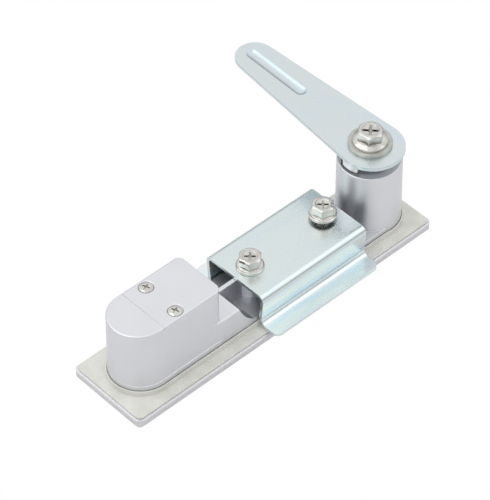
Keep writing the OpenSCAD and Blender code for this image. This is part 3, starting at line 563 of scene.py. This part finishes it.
def thread(name, centre, radius, pitch, low, high):
    """Threaded shank: a core, and a sharp ridge wound round it with the screw modifier."""
    x, y, z = centre
    # Depth of a standard metric thread
    depth = 0.61 * pitch
    root_r = radius - depth
    tip_r = radius - 1.6 * depth
    # Part of its width that the ridge's triangle keeps
    kept_width = 0.98
    core = turned(name, centre, [(tip_r, low), (root_r, low + pitch), (root_r, high)], steps=32)
    bpy.ops.object.select_all(action="DESELECT")
    bpy.ops.mesh.primitive_circle_add(vertices=3, radius=pitch / 2, fill_type="NOTHING",
                                      location=(0, 0, 0), rotation=(math.pi / 2, math.pi / 2, 0))
    ridge = bpy.context.object
    bpy.ops.object.transform_apply(location=True, rotation=True, scale=True)
    bpy.ops.object.mode_set(mode="EDIT")
    bpy.ops.mesh.select_all(action="SELECT")
    bpy.ops.transform.resize(value=(1.0, 1.0, kept_width), center_override=(0, 0, 0))
    bpy.ops.transform.translate(value=(radius - pitch / 2, 0, 0))
    bpy.ops.object.mode_set(mode="OBJECT")
    wind = ridge.modifiers.new("wind", "SCREW")
    wind.axis = "Z"
    wind.screw_offset = pitch
    wind.iterations = max(1, int((high - low - 2 * pitch) / pitch))
    wind.steps = wind.render_steps = 24
    wind.use_merge_vertices = False
    bpy.ops.object.modifier_apply(modifier=wind.name)
    bpy.ops.object.mode_set(mode="EDIT")
    bpy.ops.mesh.select_all(action="SELECT")
    bpy.ops.mesh.fill_holes(sides=3)
    bpy.ops.mesh.select_all(action="SELECT")
    bpy.ops.mesh.normals_make_consistent(inside=False)
    bpy.ops.transform.translate(value=(x, y, z + low + pitch))
    bpy.ops.object.mode_set(mode="OBJECT")
    return joined([core, ridge], name)


def smoothed(piece, sharp=30.0):
    """Shades a piece smooth, but for edges where its faces turn by more than sharp degrees."""
    only(piece)
    bpy.ops.object.shade_smooth_by_angle(angle=math.radians(sharp))
    return piece


def flanged_screw(name, centre, flange_r, flats, cross, pitch, shank_r, shank_to, turn):
    """Hexagon screw with a flange: chamfered head, dished top with a cross recess, and a threaded shank."""
    t = trim()
    x, y, z = centre
    top = t.head_height
    rim = 0.16 * top
    slope = 0.26 * top
    hex_r = flats / math.sqrt(3)
    clear_r = 1.2 * hex_r
    chamfer = top - 0.17 * hex_r
    dish_floor = top - 0.1 * hex_r
    cross_turn = 0.6
    head = hexagon(centre, flats, 0.1 * top, top, turn, t.head_edge)
    crown = turned("crown", centre, [(clear_r, 0), (clear_r, chamfer), (1.02 * hex_r, chamfer),
                                     (0.86 * hex_r, top - 0.03 * hex_r), (0.8 * hex_r, top)], steps=96)
    combine(head, crown, "INTERSECT")
    flange = turned("flange", centre, [(0.93 * flange_r, 0), (0.99 * flange_r, 0.06 * rim),
                                       (flange_r, 0.3 * rim), (flange_r, 0.75 * rim),
                                       (0.985 * flange_r, rim), (0.95 * flange_r, 1.12 * rim),
                                       (1.04 * hex_r, slope), (0.9 * hex_r, 1.15 * slope)], steps=96)
    combine(head, flange, "UNION")
    dish = turned("dish", centre, [(0.5 * hex_r, dish_floor), (0.6 * hex_r, top - 0.07 * hex_r),
                                   (0.66 * hex_r, top + 0.02 * hex_r), (0.7 * hex_r, top + 0.2 * hex_r)])
    combine(head, dish, "DIFFERENCE")
    cut_cross(head, (x, y, z + dish_floor), cross, turn + cross_turn)
    shank = thread("shank", centre, shank_r, pitch, shank_to - z, 0.05 * top)
    return smoothed(joined([head, shank], name))


def countersunk_screw(name, centre, head_r, cross, shank_r, pitch, shank_to, turn):
    """Countersunk screw with a slightly domed head and a cross recess."""
    x, y, z = centre
    cone_foot = -head_r + shank_r
    dome = 0.16 * head_r
    head = turned(name, centre, [(shank_r, cone_foot), (0.985 * head_r, -0.06 * head_r), (head_r, 0.0),
                                 (0.97 * head_r, 0.05 * head_r), (0.8 * head_r, 0.11 * head_r),
                                 (0.5 * head_r, 0.15 * head_r), (0.2 * head_r, 0.165 * head_r)])
    cut_cross(head, (x, y, z + dome), cross, turn)
    shank = thread("shank", centre, shank_r, pitch, shank_to - z, cone_foot + pitch / 2)
    return smoothed(joined([head, shank], name))


def merged_copy(node, name, flat=0.5):
    """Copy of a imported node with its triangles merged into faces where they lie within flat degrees."""
    weld = 0.002 * MM
    piece = bpy.data.objects.new(name, NODES[node].data.copy())
    bpy.context.scene.collection.objects.link(piece)
    only(piece)
    bpy.ops.mesh.customdata_custom_splitnormals_clear()
    bpy.ops.object.mode_set(mode="EDIT")
    bpy.ops.mesh.select_all(action="SELECT")
    bpy.ops.mesh.remove_doubles(threshold=weld)
    bpy.ops.mesh.dissolve_limited(angle_limit=math.radians(flat))
    bpy.ops.mesh.select_all(action="DESELECT")
    bpy.ops.object.mode_set(mode="OBJECT")
    return piece


def eased_copy(node, name, radius, segments=2, sharp=35.0):
    """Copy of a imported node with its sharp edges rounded."""
    piece = merged_copy(node, name)
    ease = piece.modifiers.new("ease", "BEVEL")
    ease.width = radius
    ease.segments = segments
    ease.limit_method = "ANGLE"
    ease.angle_limit = math.radians(sharp)
    ease.harden_normals = False
    bpy.ops.object.modifier_apply(modifier=ease.name)
    bpy.ops.object.shade_smooth_by_angle(angle=math.radians(sharp))
    flatten = piece.modifiers.new("flatten", "WEIGHTED_NORMAL")
    flatten.keep_sharp = True
    bpy.ops.object.modifier_apply(modifier=flatten.name)
    return piece


def settle(piece, body, slot, material, *nodes):
    """Finishes a piece: its material, the body it moves with and the nodes it stands for. The slot is not
    used.
    """
    finish_piece(piece, material)
    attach(piece, body)
    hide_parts(*nodes)


class LOCK_OT_finish_castings(bpy.types.Operator):
    """Satin chrome on the cast body, its cover, the handle and the button."""
    bl_idname = "lock.finish_castings"
    bl_label = "Finish Castings"

    def execute(self, context):
        casting = satin_chrome_casting()
        for node in ("base_casting", "rear_cover", "handle", "push_button"):
            finish_piece(NODES[node], casting)
        return {"FINISHED"}


class LOCK_OT_model_pressings(bpy.types.Operator):
    """Bracket, lever, washer and limit plate with deburred edges, and the gasket with rounded ones."""
    bl_idname = "lock.model_pressings"
    bl_label = "Model Pressings And Gasket"

    def execute(self, context):
        t = trim()
        c = colours()
        bracket = eased_copy("clamp_bracket", "clamp_bracket_deburred", t.sheet_edge)
        low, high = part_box("clamp_bracket")
        grain = (5.0, 1.0, 0.5)
        drawn = ((0.0, c.zinc_foot), (0.25, c.zinc_foot), (0.42, c.zinc_blue), (0.6, c.zinc_yellow),
                 (0.78, c.zinc), (0.93, c.zinc))
        zinc = clear_zinc_on_steel("clear_zinc_on_bracket", grain, low[2], high[2], drawn)
        settle(bracket, "lock_body", "zinc_sheet", zinc, "clamp_bracket")
        lever = eased_copy("cam_lever", "cam_lever_deburred", t.sheet_edge)
        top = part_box("cam_lever")[1][2]
        groove_depth = 0.6 * MM
        grain = (1.0, 3.0, 1.0)
        # The groove's stops are a bluer film with painted shade in the recess
        drawn = ((0.0, c.zinc_lever), (0.12, c.zinc_lever), (0.22, c.zinc_groove_shade), (0.6, c.zinc_groove_shade),
                 (0.85, c.zinc_lever))
        zinc = clear_zinc_on_steel("clear_zinc_on_lever", grain, top - groove_depth, top, drawn)
        settle(lever, "spindle_body", "zinc_sheet", zinc, "cam_lever")
        washer = eased_copy("cam_washer", "cam_washer_tumbled", t.washer_edge, segments=3)
        # The washer's edges get a painted highlight that also stands for wear
        nickel = plated_metal("tumbled_nickel_on_steel", c.washer, c.nickel_stain, rough=0.34,
                              grain=0.3 * MM, edge_sheen_and_wear=c.nickel_edge_sheen_and_wear)
        settle(washer, "spindle_body", "zinc_turned", nickel, "cam_washer")
        plate = eased_copy("limit_plate", "limit_plate_punched", t.plate_edge, segments=3)
        punched = plated_metal("zinc_on_punched_steel", c.casting_edge_sheen_and_limit_plate, c.turned, rough=0.4,
                               grain=0.25 * MM)
        settle(plate, "spindle_body", "zinc_turned", punched, "limit_plate")
        gasket = eased_copy("door_gasket", "door_gasket_die_cut", t.foam_edge, segments=3)
        settle(gasket, "lock_body", "gasket_foam", closed_cell_foam(), "door_gasket")
        return {"FINISHED"}


class LOCK_OT_model_screws(bpy.types.Operator):
    """Flanged hexagon screws and countersunk ones, with cross recesses and wound threads."""
    bl_idname = "lock.model_screws"
    bl_label = "Model Screws"

    def execute(self, context):
        t = trim()
        c = colours()
        # The screws' edges get a painted highlight that also stands for wear
        nickel = plated_metal("bright_nickel_on_steel", c.nickel, c.nickel_stain, rough=0.1,
                              grain=0.2 * MM, edge_sheen_and_wear=c.nickel_edge_sheen_and_wear)
        body, slot = "lock_body", "screw_bright"
        m5_r = 2.5 * MM
        m6_r = 3 * MM
        m3_r = 1.5 * MM

        low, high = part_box("bracket_screws")
        flange = (high[1] - low[1]) / 2
        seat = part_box("clamp_bracket")[1][2]
        length_under = seat - low[2]
        screws = []
        for x, z in ((low[0] + flange, seat), (high[0] - flange, high[2] - t.head_height)):
            screws.append(flanged_screw("m5", (x, 0, z), flange, t.m5_flats, t.m5_cross, t.m5_pitch,
                                        m5_r, z - length_under, t.m5_turn))
        settle(joined(screws, "bracket_screws_detailed"), body, slot, nickel, "bracket_screws")

        low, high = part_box("cam_screw")
        middle = ((low[0] + high[0]) / 2, 0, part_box("cam_washer")[1][2])
        flange = (high[0] - low[0]) / 2
        screw = flanged_screw("cam_screw_detailed", middle, flange, t.m6_flats, t.m6_cross, t.m6_pitch,
                              m6_r, low[2], t.m6_turn)
        settle(screw, "spindle_body", slot, nickel, "cam_screw")

        low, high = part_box("cover_screws")
        head = (high[0] - low[0]) / 2
        cover_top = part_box("rear_cover")[1][2]
        screws = []
        for side in (-1, 1):
            place = ((low[0] + high[0]) / 2, side * (high[1] - head), cover_top - t.m3_sunk)
            screws.append(countersunk_screw("m3", place, head - t.m3_gap, t.m3_cross, m3_r, t.m3_pitch,
                                            low[2], t.m3_turn))
        settle(joined(screws, "cover_screws_detailed"), body, slot, nickel, "cover_screws")
        return {"FINISHED"}


class LOCK_OT_model_spring(bpy.types.Operator):
    """Coil spring of the button, merged, shaded smooth and finished as oiled wire."""
    bl_idname = "lock.model_spring"
    bl_label = "Model Button Spring"

    def execute(self, context):
        c = colours()
        spring = merged_copy("button_spring", "button_spring_wound", flat=0.01)
        bpy.ops.object.shade_smooth()
        steel = plated_metal("oiled_spring_wire", c.spring, c.dark_steel, rough=0.3, grain=0.2 * MM)
        finish_piece(spring, steel)
        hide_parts("button_spring")
        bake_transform(spring)
        return {"FINISHED"}


class LOCK_OT_finish_fittings(bpy.types.Operator):
    """Finishes of the spindle, latch plate, pins, clip, spacer, leaf spring, plug, washer and seal."""
    bl_idname = "lock.finish_fittings"
    bl_label = "Finish Fittings"

    def execute(self, context):
        c = colours()
        plated = plated_metal("zinc_on_turned_steel", c.turned, c.zinc_blue, rough=0.28, grain=0.25 * MM)
        dark = plated_metal("black_oxide_on_steel", c.dark_steel, c.rubber, rough=0.42, grain=0.2 * MM)
        spring = plated_metal("tempered_spring_strip", c.spring, c.dark_steel, rough=0.3, grain=0.2 * MM)
        brass = plated_metal("turned_brass", c.brass, c.nickel_stain, rough=0.24, grain=0.2 * MM)
        groups = {
            plated: ("spindle", "latch_plate"),
            dark: ("stop_pin", "hinge_pin", "link_pin", "plug_clip", "cam_spacer"),
            spring: ("lift_spring",),
            brass: ("key_plug",),
            moulded_plastic("natural_nylon", c.nylon, rough=0.5): ("thrust_washer",),
            moulded_plastic("nitrile_rubber", c.rubber, rough=0.6): ("spindle_seal",),
        }
        for material, names in groups.items():
            for name in names:
                finish_piece(NODES[name], material)
        return {"FINISHED"}


def soft_light(name, power, size, place):
    """Square area light of that size at place, turned towards the frame's origin."""
    lamp = bpy.data.lights.new(name, "AREA")
    lamp.shape = "SQUARE"
    lamp.size = size
    lamp.energy = power
    light = bpy.data.objects.new(name, lamp)
    bpy.context.scene.collection.objects.link(light)
    light.location = place
    light.rotation_euler = (-Vector(place)).to_track_quat("-Z", "Y").to_euler()


class LOCK_OT_build_studio(bpy.types.Operator):
    """Pale floor, soft light and the camera."""
    bl_idname = "lock.build_studio"
    bl_label = "Build Studio"

    def execute(self, context):
        s = studio()
        self.add_floor(s)
        self.add_surroundings(s)
        soft_light("overhead_softbox", s.overhead, size=2.4, place=(-1.0, 0.6, 1.6))
        soft_light("side_softbox", s.side, size=1.6, place=(1.0, -1.1, 1.35))
        self.add_camera(s)
        return {"FINISHED"}

    def add_floor(self, s):
        """Floor that the camera sees white, with only a trace of shadow, and that metal sees partly so."""
        bpy.ops.object.select_all(action="DESELECT")
        bpy.ops.mesh.primitive_plane_add(size=2 * s.floor_reach, location=(0, 0, CAD_BOX[0][2]))
        floor = bpy.context.object
        floor.name = "floor"
        material = bpy.data.materials.new("pale_matt_floor")
        material.use_nodes = True
        tree = material.node_tree
        tree.nodes.clear()
        matt = add_node(tree, "ShaderNodeBsdfDiffuse", values={"Color": colours().floor})
        white = add_node(tree, "ShaderNodeEmission",
                         values={"Color": colours().backdrop, "Strength": 1.0})
        part = self.white_part(tree, s.clean_floor, s.white_floor)
        mix = add_node(tree, "ShaderNodeMixShader", {0: part, 1: matt.outputs[0], 2: white.outputs[0]})
        add_node(tree, "ShaderNodeOutputMaterial", {"Surface": mix.outputs[0]})
        finish_piece(floor, material)

    def white_part(self, tree, to_camera, to_metal):
        """Share of plain white: one value for camera rays, the other for glossy and transmission rays."""
        rays = add_node(tree, "ShaderNodeLightPath").outputs
        part = None
        shares = {"Is Camera Ray": to_camera, "Is Glossy Ray": to_metal, "Is Transmission Ray": to_metal}
        for ray, value in shares.items():
            seen = add_node(tree, "ShaderNodeMath", {0: rays[ray]}, {1: value},
                            operation="MULTIPLY").outputs[0]
            if part is None:
                part = seen
            else:
                part = add_node(tree, "ShaderNodeMath", {0: part, 1: seen}, operation="MAXIMUM").outputs[0]
        return part

    def add_surroundings(self, s):
        """Surroundings that darken towards the horizon. The camera sees them white, and metal partly so."""
        world = bpy.data.worlds.new("studio_surroundings")
        bpy.context.scene.world = world
        world.use_nodes = True
        tree = world.node_tree
        tree.nodes.clear()
        direction = add_node(tree, "ShaderNodeTexCoord").outputs["Generated"]
        height = add_node(tree, "ShaderNodeSeparateXYZ", {"Vector": direction}).outputs["Z"]
        # Upward part of a direction from which the surroundings have their full strength
        full_height = 0.6
        strength = add_node(tree, "ShaderNodeMapRange", {"Value": height},
                            reach(s.horizon, s.sky, 0.0, full_height)).outputs["Result"]
        white = self.white_part(tree, 1.0, s.white_sky)
        shown = add_node(tree, "ShaderNodeMix", {"Factor": white, "A": strength}, {"B": 1.0},
                         data_type="FLOAT")
        sky = add_node(tree, "ShaderNodeBackground", {"Strength": shown.outputs[0]}, {"Color": (1, 1, 1, 1)})
        add_node(tree, "ShaderNodeOutputWorld", {"Surface": sky.outputs[0]})

    def add_camera(self, s):
        """Camera at the photograph's angle, with the focal length given for the picture's height."""
        data = bpy.data.cameras.new("camera")
        data.sensor_fit = "VERTICAL"
        data.sensor_height = 36.0
        data.lens = s.lens
        data.clip_start = 0.01
        data.clip_end = 20.0
        camera = bpy.data.objects.new("camera", data)
        bpy.context.scene.collection.objects.link(camera)
        back = Vector((math.sin(s.azimuth) * math.cos(s.elevation),
                       -math.cos(s.azimuth) * math.cos(s.elevation), math.sin(s.elevation)))
        level = Vector((math.cos(s.azimuth), math.sin(s.azimuth), 0.0))
        upward = back.cross(level)
        right = level * math.cos(s.roll) + upward * math.sin(s.roll)
        up = upward * math.cos(s.roll) - level * math.sin(s.roll)
        turn = Matrix((right, up, back)).transposed().to_4x4()
        camera.matrix_world = Matrix.Translation(Vector(s.aim) + back * s.distance) @ turn
        bpy.context.scene.camera = camera
        bpy.context.scene.view_settings.view_transform = "Standard"


OPERATORS = (LOCK_OT_finish_castings, LOCK_OT_model_pressings, LOCK_OT_model_screws, LOCK_OT_model_spring,
             LOCK_OT_finish_fittings, LOCK_OT_build_studio)


class LOCK_PT_pieces(bpy.types.Panel):
    """Lists the steps that dress the lock."""
    bl_idname = "LOCK_PT_pieces"
    bl_label = "Cabinet Lock"
    bl_space_type = "VIEW_3D"
    bl_region_type = "UI"
    bl_category = "Cabinet Lock"

    def draw(self, context):
        for operator in OPERATORS:
            self.layout.operator(operator.bl_idname)


CLASSES = (LockColours, LockTrim, LockStudio) + OPERATORS + (LOCK_PT_pieces,)


def register():
    for item in CLASSES:
        bpy.utils.register_class(item)
    bpy.types.Scene.lock_colours = bpy.props.PointerProperty(type=LockColours)
    bpy.types.Scene.lock_trim = bpy.props.PointerProperty(type=LockTrim)
    bpy.types.Scene.lock_studio = bpy.props.PointerProperty(type=LockStudio)


def unregister():
    del bpy.types.Scene.lock_studio
    del bpy.types.Scene.lock_trim
    del bpy.types.Scene.lock_colours
    for item in reversed(CLASSES):
        bpy.utils.unregister_class(item)


def main():
    register()
    bpy.ops.lock.finish_castings()
    bpy.ops.lock.model_pressings()
    bpy.ops.lock.model_screws()
    bpy.ops.lock.model_spring()
    bpy.ops.lock.finish_fittings()
    bpy.ops.lock.build_studio()


if __name__ == "__main__":
    main()
